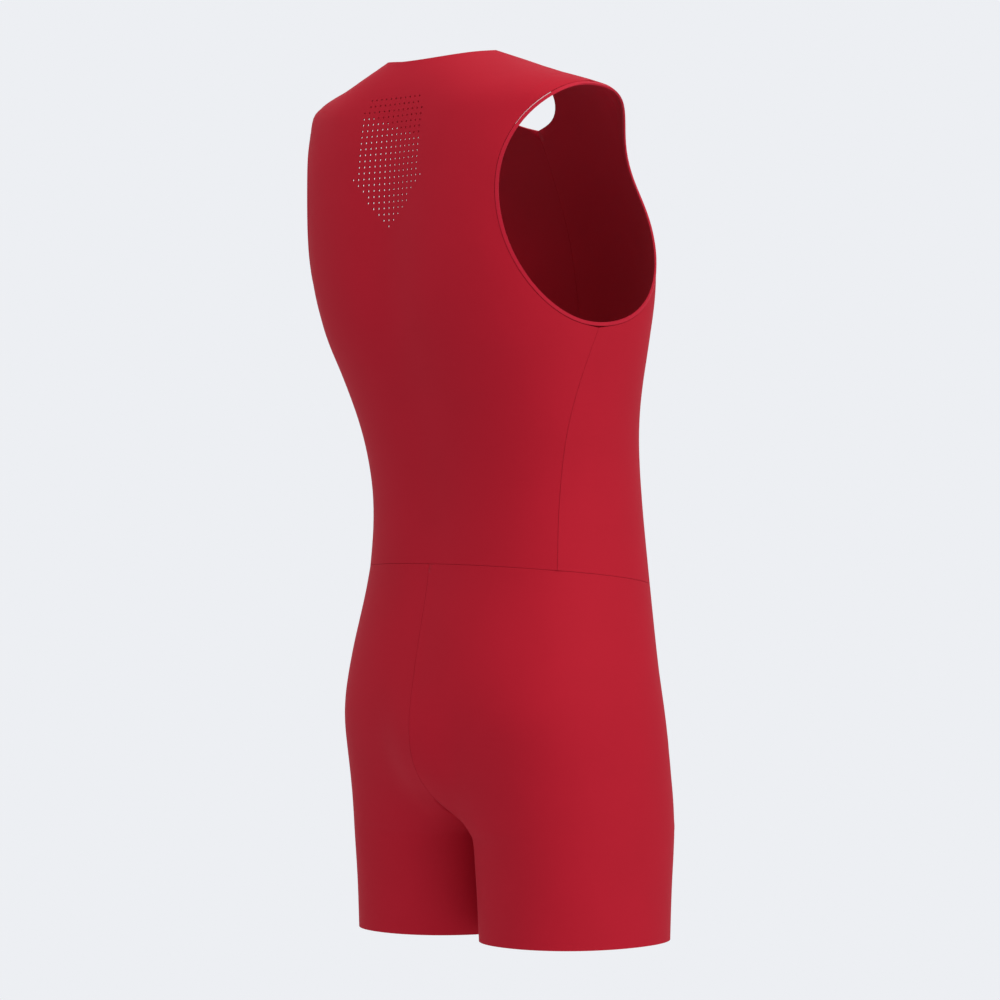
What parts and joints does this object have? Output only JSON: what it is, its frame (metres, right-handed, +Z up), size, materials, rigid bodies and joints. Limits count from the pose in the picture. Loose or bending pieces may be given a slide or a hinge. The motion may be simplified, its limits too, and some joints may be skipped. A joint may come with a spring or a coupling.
{
  "type": "triathlon suit",
  "caption": "Sleeveless one-piece triathlon suit with short legs, hollow and filled out as if worn.",
  "frame": {"origin": "midway between the neck ends of the two shoulder seams, where the wearer's shoulders carry the suit", "axes": "+Z up, -Y to the wearer's front, +X to the wearer's left"},
  "size_m": [0.3556, 0.2749, 0.849],
  "materials": {
    "jersey": "matt",
    "binding": "matt"
  },
  "bodies": {
    "root": {"back": "jersey", "front_left": "jersey", "front_right": "jersey", "leg_left": "jersey", "leg_right": "jersey", "binding_left": "binding", "binding_right": "binding"}
  },
  "joints": []
}
